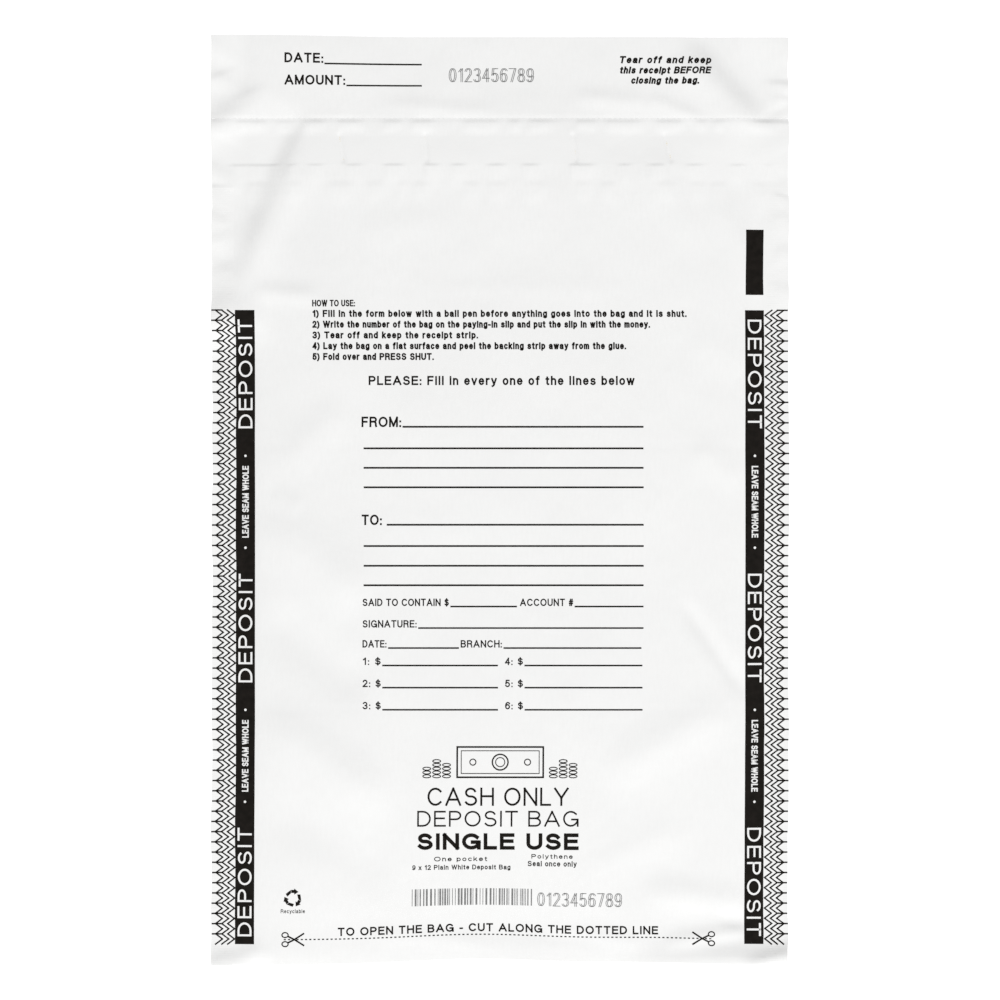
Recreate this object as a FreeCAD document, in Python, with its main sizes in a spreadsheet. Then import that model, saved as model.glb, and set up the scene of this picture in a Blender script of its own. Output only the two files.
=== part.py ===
import FreeCAD, Part
import os
import Sketcher

# Film deposit bag with a tear-off receipt, empty and lying on its back.
#
# Frame: +X to the right of the printed front, +Y from the foot to the receipt, +Z out of the front.
# The origin is at the middle of the bag, on the surface that it lies on. Lengths are in millimetres.
#
# The pocket is low and arched: its front wall rises from both side seals and from the foot to a flat
# top, and stands open at the mouth. The lip and the receipt carry the same arch on past the mouth.

doc = FreeCAD.newDocument("deposit_bag")

DRIVING = {
    "bag_width": 228.6,  # 9 in
    "pocket_depth": 307.8,  # foot to mouth
    "lip_height": 27.2,  # mouth to perforation
    "receipt_height": 33.3,  # perforation to top edge
    "film": 0.1,  # one layer of film
    "seal_band": 8.7,  # width of a side weld
    "foot_band": 3.0,  # depth of the folded foot
    "arch_rise": 6.0,  # height of the arch above the seals
    "arch_run": 24.0,  # width of the arch's slope beside each seal
    "foot_run": 34.0,  # length of the arch's slope above the foot
    "glue_length": 214.0,
    "glue_height": 11.1,
    "glue_above_mouth": 9.1,
    "glue_thick": 0.05,
    "liner_height": 14.7,
    "liner_above_mouth": 8.3,
    "lift_tab": 5.0,  # how far the liner's lifting end runs past the glue
    "tooth_pitch": 2.11667,  # 12 perforation teeth to the inch
    "slot_width": 1.45,
    "slot_depth": 0.4,
}

DERIVED = {
    "half_width": "=bag_width / 2",
    "bag_length": "=pocket_depth + lip_height + receipt_height",
    "foot_y": "=-bag_length / 2",
    "mouth_y": "=foot_y + pocket_depth",
    "perforation_y": "=mouth_y + lip_height",
    "pocket_y": "=foot_y + foot_band",
    "pocket_run": "=pocket_depth - foot_band",
    "seal_x": "=half_width - seal_band",
    "pocket_width": "=2 * seal_x",
    "top_x": "=seal_x - arch_run",
    "weld_z": "=2 * film",
    "top_z": "=film + arch_rise",  # under the arch's flat top
    "crest_z": "=top_z + film",
    "glue_x": "=glue_length / 2",
    "glue_y": "=mouth_y + glue_above_mouth",
    "glue_low_z": "=film - glue_thick",
    "glue_top_z": "=top_z - glue_thick",
    "liner_tab_x": "=glue_x + lift_tab",
    "liner_y": "=mouth_y + liner_above_mouth",
    "liner_top_z": "=top_z - film",
    "tooth_count": "=round(bag_width / tooth_pitch)",
    "tooth_run": "=(tooth_count - 1) * tooth_pitch",
    "slot_from_x": "=half_width - (tooth_pitch - slot_width) / 2",
    "slot_to_x": "=slot_from_x - slot_width",
    "slot_cut": "=4 * crest_z",
}

sheet = doc.addObject("Spreadsheet::Sheet", "Sizes")
for row, (alias, value) in enumerate({**DRIVING, **DERIVED}.items(), start=1):
    sheet.set(f"A{row}", alias)
    sheet.set(f"B{row}", str(value))
    sheet.setAlias(f"B{row}", alias)
doc.recompute()


def number(name):
    """The value of an alias. A leading minus turns its sign, and "0" is nought."""
    if name == "0":
        return 0.0
    return -number(name[1:]) if name.startswith("-") else float(sheet.get(name))


def expression(name):
    """The same alias, as an expression that other objects can be bound to."""
    if name == "0":
        return "0 mm"
    sign = "-" if name.startswith("-") else ""
    return f"{sign}Sizes.{name.lstrip('-')} * 1 mm"


def bind(thing, **properties):
    """Binds properties to aliases. A double underscore in a name stands for a point."""
    for path, alias in properties.items():
        thing.setExpression(path.replace("__", "."), expression(alias))


def named_body(label, y="0", z="0"):
    """A body with a label of its own, moved up the bag to y and out to z."""
    body = doc.addObject("PartDesign::Body", label + "_body")
    body.Label = label
    bind(body, Placement__Base__y=y, Placement__Base__z=z)
    return body


def sketch_on(body, role, name):
    """An empty sketch on one of the body's own origin planes."""
    plane = next(f for f in body.Origin.OriginFeatures if f.Role == role)
    sketch = body.newObject("Sketcher::SketchObject", name)
    sketch.AttachmentSupport = [(plane, "")]
    sketch.MapMode = "FlatFace"
    return sketch


def pin_point(sketch, edge, end, point):
    """Holds one end of an edge at a point given as two aliases."""
    for kind, name in zip(("DistanceX", "DistanceY"), point):
        index = sketch.addConstraint(Sketcher.Constraint(kind, -1, 1, edge, end, number(name)))
        sketch.setExpression(f"Constraints[{index}]", expression(name))


def draw_polygon(sketch, points):
    """A closed outline of straight edges, each corner held at its own point."""
    corners = [FreeCAD.Vector(number(a), number(b), 0) for a, b in points]
    for here, there in zip(corners, corners[1:] + corners[:1]):
        sketch.addGeometry(Part.LineSegment(here, there))
    for edge, point in enumerate(points):
        edge_before = (edge - 1) % len(points)
        sketch.addConstraint(Sketcher.Constraint("Coincident", edge_before, 2, edge, 1))
        pin_point(sketch, edge, 1, point)


def pad(body, sketch, length, reverse=False, both_ways=False):
    """Pads a sketch along its normal, against it, or half each way."""
    feature = body.newObject("PartDesign::Pad", sketch.Name + "_pad")
    feature.Profile = sketch
    feature.Reversed = reverse
    feature.SideType = "Symmetric" if both_ways else "One side"
    bind(feature, Length=length)
    return feature


def pocket(body, sketch, length):
    """Cuts a sketch out of the body, half the length to each side of its plane."""
    feature = body.newObject("PartDesign::Pocket", sketch.Name + "_pocket")
    feature.Profile = sketch
    feature.SideType = "Symmetric"
    bind(feature, Length=length)
    return feature


def box(label, length, width, height, x, y):
    """A flat piece of film from its low corner."""
    piece = doc.addObject("Part::Box", label + "_box")
    piece.Label = label
    bind(piece, Length=length, Width=width, Height=height, Placement__Base__x=x, Placement__Base__y=y)
    return piece


def arched_strip(label, left, right, low, high, top_low, top_high, y, run):
    """A strip that follows the arch across the bag, between two heights on the seals and on the top."""
    body = named_body(label, y=y)
    outline = sketch_on(body, "XZ_Plane", label + "_outline")
    underside = [("-" + left, low), ("-seal_x", low), ("-top_x", top_low)]
    underside += [("top_x", top_low), ("seal_x", low), (right, low)]
    outside = [(right, high), ("seal_x", high), ("top_x", top_high)]
    outside += [("-top_x", top_high), ("-seal_x", high), ("-" + left, high)]
    draw_polygon(outline, underside + outside)
    pad(body, outline, run, reverse=True)
    return body


def arched_volume(label, z):
    """The space under the pocket's arch, sloped off at the foot and square at the mouth."""
    body = named_body(label, y="pocket_y", z=z)
    section = sketch_on(body, "XZ_Plane", label + "_section")
    slope = [("-seal_x", "film"), ("-seal_x", "weld_z"), ("-top_x", "crest_z")]
    draw_polygon(section, slope + [(name.lstrip("-"), height) for name, height in reversed(slope)])
    pad(body, section, "pocket_run", reverse=True)
    foot = sketch_on(body, "YZ_Plane", label + "_foot")
    draw_polygon(foot, [("0", "weld_z"), ("foot_run", "crest_z"), ("0", "crest_z")])
    pocket(body, foot, "bag_width")
    return body


def front_wall():
    """The front of the pocket: the space under its outer face less the space under its inner face."""
    wall = doc.addObject("Part::Cut", "front_wall")
    wall.Label = "front_panel"
    wall.Base = arched_volume("outer_space", "0")
    wall.Tool = arched_volume("inner_space", "-film")
    return wall


def folded_foot():
    """The foot of the bag, where the web turns round on itself."""
    body = named_body("foot_fold", y="foot_y")
    profile = sketch_on(body, "YZ_Plane", "fold_profile")
    film, band = number("film"), number("foot_band")
    corners = [FreeCAD.Vector(y, z, 0) for y, z in ((film, 0), (band, 0), (band, 2 * film), (film, 2 * film))]
    for here, there in zip(corners, corners[1:]):
        profile.addGeometry(Part.LineSegment(here, there))
    turn = Part.Arc(corners[3], FreeCAD.Vector(0, film, 0), corners[0])
    profile.addGeometry(turn)
    for edge, point in enumerate([("film", "0"), ("foot_band", "0"), ("foot_band", "weld_z")]):
        pin_point(profile, edge, 1, point)
    pin_point(profile, 2, 2, ("film", "weld_z"))
    for edge in range(2):
        profile.addConstraint(Sketcher.Constraint("Coincident", edge, 2, edge + 1, 1))
    profile.addConstraint(Sketcher.Constraint("Coincident", 3, 1, 2, 2))
    profile.addConstraint(Sketcher.Constraint("Coincident", 3, 2, 0, 1))
    centre = profile.addConstraint(Sketcher.Constraint("DistanceX", -1, 1, 3, 3, film))
    profile.setExpression(f"Constraints[{centre}]", expression("film"))
    pad(body, profile, "pocket_width", both_ways=True)
    return body


def perforated_receipt():
    """The receipt, with the perforation's slots along its lower edge and ties of film between them."""
    body = arched_strip(
        "receipt_stub", "half_width", "half_width", "film", "weld_z", "top_z", "crest_z",
        "perforation_y", "receipt_height",
    )
    doc.recompute()
    whole = body.Shape.Volume
    outline = sketch_on(body, "XY_Plane", "slot_outline")
    low_end, high_end = ("-slot_from_x", "0"), ("-slot_to_x", "0")
    draw_polygon(outline, [low_end, high_end, ("-slot_to_x", "slot_depth"), ("-slot_from_x", "slot_depth")])
    slot = pocket(body, outline, "slot_cut")
    row_of_slots = body.newObject("PartDesign::LinearPattern", "row_of_slots")
    row_of_slots.Originals = [slot]
    row_of_slots.Direction = (outline, ["H_Axis"])
    bind(row_of_slots, Length="tooth_run")
    row_of_slots.setExpression("Occurrences", "Sizes.tooth_count")
    body.Tip = row_of_slots
    doc.recompute()
    if not body.Shape.Volume < whole:
        raise SystemExit("the perforation removed nothing from the receipt")
    return body


PIECES = [
    front_wall(),
    box("back_panel", "pocket_width", "pocket_run", "film", "-seal_x", "pocket_y"),
    folded_foot(),
    box("left_side_seal", "seal_band", "pocket_depth", "weld_z", "-half_width", "foot_y"),
    box("right_side_seal", "seal_band", "pocket_depth", "weld_z", "seal_x", "foot_y"),
    arched_strip(
        "closure_lip", "half_width", "half_width", "film", "weld_z", "top_z", "crest_z",
        "mouth_y", "lip_height",
    ),
    arched_strip(
        "adhesive_strip", "glue_x", "glue_x", "glue_low_z", "film", "glue_top_z", "top_z",
        "glue_y", "glue_height",
    ),
    arched_strip(
        "release_liner", "liner_tab_x", "half_width", "0", "glue_low_z", "liner_top_z", "glue_top_z",
        "liner_y", "liner_height",
    ),
    perforated_receipt(),
]
doc.recompute()

for thing in doc.Objects:
    if {"Invalid", "Error"} & set(thing.State):
        raise SystemExit(f"{thing.Label} failed: {thing.State}")
for piece in PIECES:
    if piece.Shape.isNull() or not piece.Shape.isValid() or piece.Shape.Volume <= 0:
        raise SystemExit(f"{piece.Label} has no sound shape")

os.makedirs("parts", exist_ok=True)
for piece in PIECES:
    piece.Shape.exportStep(f"parts/{piece.Label}.step")
    box_of = piece.Shape.BoundBox
    low = f"{box_of.XMin:.2f} {box_of.YMin:.2f} {box_of.ZMin:.2f}"
    high = f"{box_of.XMax:.2f} {box_of.YMax:.2f} {box_of.ZMax:.2f}"
    print(f"{piece.Label}: {len(piece.Shape.Solids)} solid, {piece.Shape.Volume:.1f} mm3, {low} to {high}")
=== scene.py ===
import math

import bpy
import numpy as np
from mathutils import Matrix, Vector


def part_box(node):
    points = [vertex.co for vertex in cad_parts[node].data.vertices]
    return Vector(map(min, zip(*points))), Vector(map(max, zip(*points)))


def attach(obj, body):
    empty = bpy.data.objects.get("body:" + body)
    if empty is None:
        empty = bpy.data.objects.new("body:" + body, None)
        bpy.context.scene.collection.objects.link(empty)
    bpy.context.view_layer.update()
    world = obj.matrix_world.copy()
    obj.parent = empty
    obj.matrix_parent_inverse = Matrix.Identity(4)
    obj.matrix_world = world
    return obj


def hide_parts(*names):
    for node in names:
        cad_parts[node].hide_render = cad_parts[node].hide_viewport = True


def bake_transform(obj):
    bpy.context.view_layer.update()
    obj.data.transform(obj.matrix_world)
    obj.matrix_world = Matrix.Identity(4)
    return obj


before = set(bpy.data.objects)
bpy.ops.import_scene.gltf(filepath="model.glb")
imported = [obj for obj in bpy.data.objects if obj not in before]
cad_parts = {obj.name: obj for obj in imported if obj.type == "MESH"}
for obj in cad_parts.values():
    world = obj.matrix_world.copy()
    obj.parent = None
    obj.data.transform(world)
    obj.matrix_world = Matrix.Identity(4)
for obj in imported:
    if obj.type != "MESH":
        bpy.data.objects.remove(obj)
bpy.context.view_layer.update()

# A white film deposit bag, lying flat with its printed front up. Its shape is worked out in
# millimetres, from the frame's own nodes, and turned into metres when a mesh is made.
MM = 0.001


def span(node):
    """A CAD node's lowest and highest corners, in millimetres."""
    return [np.array(corner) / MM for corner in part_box(node)]


weld_low, weld_high = span("left_side_seal")
glue_low, glue_high = span("adhesive_strip")
liner_low, liner_high = span("release_liner")
HALF = -weld_low[0]  # half the bag's width
SEAL = -weld_high[0]  # where a side weld meets the pocket
FOOT, MOUTH = weld_low[1], weld_high[1]
POCKET_FOOT = span("front_panel")[0][1]  # where the folded foot ends
PERFORATION = span("receipt_stub")[0][1]
TOP = span("receipt_stub")[1][1]
FILM = span("back_panel")[1][2]
GLUE = 0.5 * FILM
LINER = 0.5 * FILM


# ---- the shape of the film ------------------------------------------------------------------


def smooth(t):
    """0 to 1 with no corner at either end."""
    t = np.clip(t, 0, 1)
    return t * t * t * (t * (6 * t - 15) + 10)


def swell(t):
    """0 to 1, rising early and levelling off, as film does from a weld."""
    t = np.clip(t, 0, 1)
    return (1 - (1 - t) ** 2.1) * (0.35 + 0.65 * smooth(t / 0.22))


def mottle(x, y, size, seed):
    """Soft random height between -1 and 1, with bumps about size apart."""
    cells = 64
    heights = np.random.default_rng(seed).uniform(-1, 1, (cells, cells))
    u, v = np.asarray(x) / size + cells * 8, np.asarray(y) / size + cells * 8
    i, j = np.floor(u).astype(int), np.floor(v).astype(int)
    a, b = smooth(u - i), smooth(v - j)
    near = heights[i % cells, j % cells] * (1 - b) + heights[i % cells, (j + 1) % cells] * b
    i = i + 1
    far = heights[i % cells, j % cells] * (1 - b) + heights[i % cells, (j + 1) % cells] * b
    return near * (1 - a) + far * a


def along(x, y, start, end):
    """For a line from start to end: how far along it each point is, 0 to 1, and how far to its left."""
    dx, dy = end[0] - start[0], end[1] - start[1]
    length = math.hypot(dx, dy)
    t = ((x - start[0]) * dx + (y - start[1]) * dy) / length**2
    return t, ((y - start[1]) * dx - (x - start[0]) * dy) / length


def fade(t, soft):
    """1 along a line and 0 past its ends, over a share of its length at each."""
    return smooth(t / soft) * smooth((1 - t) / soft)


def ridge(x, y, start, end, height, width, soft=0.35):
    """A soft fold that stands up from the film, or a valley if its height is negative."""
    t, off = along(x, y, start, end)
    return height * np.exp(-((off / width) ** 2)) * fade(t, soft)


# Soft folds in the front film: where each runs, its height and its width.
FOLDS = [
    ((-98, -4), (-48, -44), 1.15, 10),
    ((-98, -40), (-46, -82), -1.10, 9),
    ((-100, -80), (-40, -127), 1.35, 10),
    ((-98, -114), (-38, -154), -0.65, 9),
    ((-90, 8), (-58, 42), 0.60, 7),
    ((-92, 2), (-76, -4), 0.35, 4),
    ((68, -34), (102, -84), -0.95, 3.4),
    ((74, 24), (98, 4), 0.60, 6),
    ((72, 66), (100, 50), 0.30, 7),
    ((34, -113), (98, -78), 0.95, 9),
    ((52, -155), (104, -160), 0.80, 6),
    ((24, -150), (80, -128), 0.45, 7),
    ((-102, 83), (-68, 80), 0.75, 3.6),
    ((-40, 84), (60, 83), 0.12, 3),
    ((-60, 104), (-22, 112), 0.30, 6),
    ((84, 126), (106, 74), 0.70, 5),
    ((-112, 66), (-73.5, 145.5), 1.30, 8),
    ((58, 146), (82, 92), 0.30, 6),
]

# Folds in the receipt and about the corners, narrower and sharper.
CREASES = [
    ((68, 181), (106, 141), 1.30, 8),
    ((92, 200), (132, 163), 1.10, 9),
    ((-118, 149), (-82, 150), 0.35, 6.5),
    ((-128, 137), (-90, 163), 1.40, 6),
    ((-126, 168), (-98, 196), 0.60, 9),
    ((24, 160), (66, 156), 0.50, 3.6),
    ((56, 160), (84, 149), 0.45, 3),
    ((-52, 157), (6, 153), 0.35, 3),
    ((-120, -185), (-88, -178), 0.80, 3.8),
    ((-64, -172), (6, -178), 0.25, 3.2),
    ((16, -170), (66, -178), 0.30, 3),
    ((58, -178), (108, -168), 0.80, 3.4),
    ((84, -164), (114, -174), -0.70, 3),
    ((92, -186), (122, -178), 0.90, 3.2),
]

# Slopes with low-lying film on their left: where each runs and its width. Then, as shares of its
# length, how early it starts and over what stretch it deepens, and where it ends and how it fades.
HOLLOWS = [
    ((-111, 80), (-79.5, 148.6), 11, (0.15, 0.25), (1.12, 0.2)),
    ((-117, 147), (-93, 165), 8, (0.3, 0.3), (1.2, 0.8)),
    ((80, 178), (108, 147.5), 13, (0.6, 0.6), (1.05, 0.2)),
]

# Where an edge or a corner curls up off the table, both films together: where it runs, height and width.
CURLS = [
    ((-112, 64), (-91, 118), 0.5, 6.5),
    ((-150, 70), (-86, 73), 3.0, 9),
    ((40, -186), (150, -181), 1.8, 6),
    ((-140, -184), (-90, -187), 0.8, 4.5),
]

# Upright creases across the glue, as (place, lean).
GLUE_CREASES = [(-63.2, 1.6), (-29.5, 0.9), (29.1, 1.2), (65.6, 2.6)]

# Tucks that run in from a side edge: the edge, where they meet it, their reach, rise and height.
EDGE_TUCKS = [
    (-1, 166.5, 16, 6.0, 0.45),
    (-1, 123.6, 13, -0.5, 0.40),
    (-1, 112.0, 11, -3.5, 0.45),
    (-1, 102.5, 14, 5.0, 0.50),
    (-1, 89.5, 13, 5.0, 0.45),
    (1, 164.6, 12, 1.0, 0.80),
    (1, 158.0, 8, 1.5, 0.60),
    (1, 148.5, 18, 1.0, 0.45),
    (1, 118.6, 9, 3.0, 0.50),
    (1, 110.6, 10, 4.0, 0.45),
    (1, 98.0, 8, 1.0, 0.50),
    (1, 83.5, 12, 0.5, 0.45),
]


def crown(x, y):
    """The film's lift off its seams: highest in the middle of the pocket, less at the receipt."""
    height = 4.0 - 0.9 * smooth((y - 20) / 110) - 0.9 * smooth((y - MOUTH + 10) / (TOP - MOUTH + 12))
    sides = swell((x + SEAL) / 60) * swell((SEAL - x) / 66)
    # the lip and receipt have no side welds to hold them down
    sides = sides + 0.34 * (1 - sides) * smooth((y - MOUTH + 4) / 24)
    foot = swell((y - POCKET_FOOT) / 120)
    hollow = 0
    for start, end, width, (before, rise), (past, fall) in HOLLOWS:
        t, off = along(x, y, start, end)
        low = smooth(off / width + 0.5) * smooth((t + before) / rise) * smooth((past - t) / fall)
        hollow = np.maximum(hollow, low)
    uneven = 0.8 + 0.4 * mottle(x, 0 * y, 37, 8)
    roll = 0.6 * swell((y - FOOT) / 8) * uneven * smooth((SEAL - np.abs(x)) / 12)
    return height * sides * foot * (1 - 0.85 * hollow) + roll


def tucks(x, y):
    """Short folds from the side edges, each rising slowly from below and falling steeply above its line."""
    height = 0
    for edge, place, reach, rise, lift in EDGE_TUCKS:
        inner, outer = (edge * (HALF - reach), place + rise), (edge * (HALF + reach), place - rise)
        t, off = along(x, y, inner, outer)
        off = edge * off
        width = np.where(off > 0, 1.3, 7.0)
        height = height + lift * np.exp(-((off / width) ** 2)) * smooth(t / 0.45)
    return height


def edge_ripple(x, y):
    """Puckers that the welds draw into the edges. They lift both films together, and never reach down."""
    inward = HALF - np.abs(x)
    side = np.where(x < 0, 0.0, 40.0)
    waves = 0.5 + 0.5 * mottle(side, y + 0.5 * inward, 6.2, 3) + 0.4 * mottle(side + 9, y, 13, 4)
    reach = np.exp(-((inward / 11) ** 2))
    upper = 0.50 + 0.50 * smooth((y - 40) / 40)
    low_edge = 0.45 * (0.5 + 0.5 * mottle(x, 0 * y, 13, 6)) * np.exp(-(((y - FOOT) / 9) ** 2))
    high_edge = 0.35 * (0.5 + 0.5 * mottle(x, 0 * y, 19, 7)) * np.exp(-(((TOP - y) / 12) ** 2))
    curl = sum(ridge(x, y, *line) for line in CURLS)
    return 0.65 * waves * reach * upper + low_edge + high_edge + curl + tucks(x, y)


def blobs(x, y, seed):
    """A row of uneven swellings along x, from 0 between them to 1 or a little more."""
    phase = x / 2.3 + 3.2 * mottle(x, 0 * y, 15, seed)
    return (0.55 + 0.5 * np.sin(phase)) * (1 + 0.35 * mottle(x, 0 * y, 11, seed + 50))


def glue_relief(x, y):
    """What the stiff glue does to the film: pillows above it, puckers under it and creases across it."""
    low, high = glue_low[1], glue_high[1]
    inside = smooth((x + 110) / 6) * smooth((110 - x) / 6)
    scallop = 0.6 * mottle(x, 0 * y, 4.5, 12)
    top = PERFORATION - 2.2
    above = smooth((y - high + scallop) / (top - high)) * smooth((PERFORATION + 0.3 - y) / 2.6)
    below = smooth((low + 0.5 - y) / 1.3) * smooth((y - low + 12) / 11)
    mouth = smooth((MOUTH + 3.5 - y) / 4) * smooth((y - MOUTH + 8) / 7)
    relief = 0.32 * smooth(1.3 * blobs(x, y, 11)) * above + 0.32 * smooth(1.3 * blobs(x, y, 13) - 0.3) * below
    relief = relief + 0.24 * smooth(1.2 * blobs(x, y, 17) - 0.1) * mouth
    for place, lean in GLUE_CREASES:
        start, end = (place + lean, low - 0.5), (place - 0.4 * lean, high + 2.5)
        relief = relief - ridge(x, y, start, end, 0.30, 1.0, 0.2)
    return inside * relief


def front_top(x, y):
    """Height of the outer face of the front film, lip and receipt."""
    x, y = np.asarray(x, float), np.asarray(y, float)
    z = crown(x, y) + glue_relief(x, y)
    for start, end, height, width in FOLDS + CREASES:
        z = z + ridge(x, y, start, end, height, width)
    free = smooth((SEAL - np.abs(x)) / 14) * smooth((y - POCKET_FOOT) / 10)
    z = z + free * (0.24 * mottle(x, y, 29, 21) + 0.09 * mottle(x, y, 12, 22) + 0.02 * mottle(x, y, 5, 23))
    top_free = smooth((y - MOUTH) / 8)
    z = z + top_free * (0.14 * mottle(x, y, 17, 24) + 0.03 * mottle(x, y, 6, 25))
    # the perforation lies in a slight groove
    z = z - 0.16 * np.exp(-(((y - PERFORATION) / 1.0) ** 2)) * (0.8 + 0.3 * mottle(x, 0 * y, 6, 26))
    # two faint marks where the bag was folded in its pack
    for mark in (21.0, -82.5):
        z = z - 0.07 * np.exp(-(((y - mark - 0.4 * mottle(x, 0 * y, 40, 27)) / 0.9) ** 2)) * free
    return 2 * FILM + edge_ripple(x, y) + soft_floor(z)


def soft_floor(z):
    """Keeps heights off the surface below without a sharp edge."""
    return 0.5 * (z + np.sqrt(z * z + 0.02))


def back_under(x, y):
    """Height of the outer face of the back film, which the bag lies on."""
    x, y = np.asarray(x, float), np.asarray(y, float)
    inner = smooth((SEAL - np.abs(x)) / 30) * smooth((y - POCKET_FOOT) / 25)
    relief = 0.5 + 0.30 * mottle(x, y, 31, 31) + 0.15 * mottle(x, y, 12, 32)
    return edge_ripple(x, y) + 0.35 * inner * np.clip(relief, 0, 1)


def sway(x, y):
    """The slight waver of the cut film in its own plane, which everything on the bag shares."""
    side = 0.45 * mottle(0 * x, y, 90, 41) + 0.22 * mottle(x / 30, y, 21, 42)
    edge = smooth((np.abs(x) - 95) / 20)
    dx = side * 0.5 + edge * 0.30 * mottle(np.sign(x) * 20, y, 9, 43)
    foot_share = smooth((-120 - y) / 64)
    top_share = smooth((y - 150) / 34)
    dip = 2.2 * np.exp(-(((x + 8) / 38) ** 2)) + 0.9 * np.exp(-(((x - 60) / 30) ** 2))
    dy = foot_share * dip - top_share * 1.1 * smooth((x + 114) / 90)
    return x + dx, y + dy


# One grid of heights is kept for the front, so that the print lies exactly on the film under it.
PITCH = 1.35
LIFT = 0.06  # how far ink stands off the film


def ticks(low, high, pitch=PITCH):
    """Even places from low to high, both included, at most pitch apart."""
    return np.linspace(low, high, max(2, int(math.ceil((high - low) / pitch)) + 1))


def joined(*runs):
    """Several runs of places in a row, each place once."""
    return np.unique(np.round(np.concatenate(runs), 6))


def finer(places, low, high, parts):
    """The same places, with every gap between low and high cut into parts."""
    extra = [np.linspace(a, b, parts + 1) for a, b in zip(places, places[1:]) if low < (a + b) / 2 < high]
    return joined(places, *extra)


grid_x = joined(ticks(-HALF, -SEAL), ticks(-SEAL, SEAL), ticks(SEAL, HALF))
for glue_crease, crease_lean in GLUE_CREASES:
    grid_x = finer(grid_x, glue_crease - 2.2, glue_crease + crease_lean + 1.6, 3)
grid_y = joined(ticks(FOOT, POCKET_FOOT), ticks(POCKET_FOOT, MOUTH, 1.9), ticks(MOUTH, PERFORATION, 0.48),
                ticks(PERFORATION, PERFORATION + 4, 0.5), ticks(PERFORATION + 4, TOP, 1.2))
grid_y = finer(grid_y, MOUTH - 4, MOUTH, 4)
grid_y = finer(grid_y, POCKET_FOOT, POCKET_FOOT + 14, 2)
grid_z = front_top(*np.meshgrid(grid_x, grid_y))


def on_film(x, y):
    """Height of the front film's own facets at any place."""
    x, y = np.clip(x, -HALF, HALF), np.clip(y, FOOT, TOP)
    i = np.clip(np.searchsorted(grid_x, x) - 1, 0, len(grid_x) - 2)
    j = np.clip(np.searchsorted(grid_y, y) - 1, 0, len(grid_y) - 2)
    a = (x - grid_x[i]) / (grid_x[i + 1] - grid_x[i])
    b = (y - grid_y[j]) / (grid_y[j + 1] - grid_y[j])
    low = grid_z[j, i] * (1 - a) + grid_z[j, i + 1] * a
    high = grid_z[j + 1, i] * (1 - a) + grid_z[j + 1, i + 1] * a
    return low * (1 - b) + high * b


# ---- materials ------------------------------------------------------------------------------


class Finish:
    """A material's node tree, with short calls for the nodes that the bag's finishes share."""

    def __init__(self, name, color, roughness, ior=1.5, specular=0.5):
        self.material = bpy.data.materials.new(name)
        self.material.use_nodes = True
        self.tree = self.material.node_tree
        self.shader = self.tree.nodes["Principled BSDF"]
        # colour and roughness are middle values, which stay under what is linked to them later
        self.shader.inputs["Base Color"].default_value = (*color, 1)
        self.shader.inputs["Roughness"].default_value = roughness
        self.shader.inputs["IOR"].default_value = ior
        self.shader.inputs["Specular IOR Level"].default_value = specular
        place = self.node("Attribute")
        place.attribute_name = "flat_mm"
        self.place = place.outputs["Vector"]

    def feed(self, socket, value):
        """Links a node's output to a socket, or sets the socket to a plain value."""
        if isinstance(value, bpy.types.NodeSocket):
            self.tree.links.new(value, socket)
        else:
            socket.default_value = value

    def node(self, kind, **inputs):
        made = self.tree.nodes.new("ShaderNode" + kind)
        for name, value in inputs.items():
            self.feed(made.inputs[name.replace("_", " ")], value)
        return made

    def noise(self, size, detail=3.0, stretch=(1, 1, 1)):
        """Noise over the flat film, in grains about size millimetres across."""
        scaled = self.node("VectorMath", Vector=self.place)
        scaled.operation = "MULTIPLY"
        scaled.inputs[1].default_value = [s / size for s in stretch]
        grains = self.node("TexNoise", Vector=scaled.outputs[0], Scale=1.0, Detail=detail)
        return grains.outputs["Fac"]

    def remap(self, value, to_low=0.0, to_high=1.0, low=0.3, high=0.7):
        """A value between low and high, spread over another range."""
        return self.node("MapRange", Value=value, From_Min=low, From_Max=high,
                         To_Min=to_low, To_Max=to_high).outputs["Result"]

    def math(self, kind, a, b):
        made = self.node("Math")
        made.operation = kind
        self.feed(made.inputs[0], a)
        self.feed(made.inputs[1], b)
        return made.outputs[0]

    def blend(self, share, first, second):
        """One colour turning into another as share goes from 0 to 1."""
        mix = self.node("Mix")
        mix.data_type = "RGBA"
        self.feed(mix.inputs[0], share)
        self.feed(mix.inputs[6], (*first, 1) if isinstance(first, tuple) else first)
        self.feed(mix.inputs[7], (*second, 1) if isinstance(second, tuple) else second)
        return mix.outputs[2]

    def set(self, name, value):
        self.tree.links.new(value, self.shader.inputs[name])

    def bump(self, height, distance_mm, strength=1.0):
        made = self.node("Bump", Height=height, Distance=distance_mm * MM, Strength=strength)
        self.set("Normal", made.outputs["Normal"])


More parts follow.
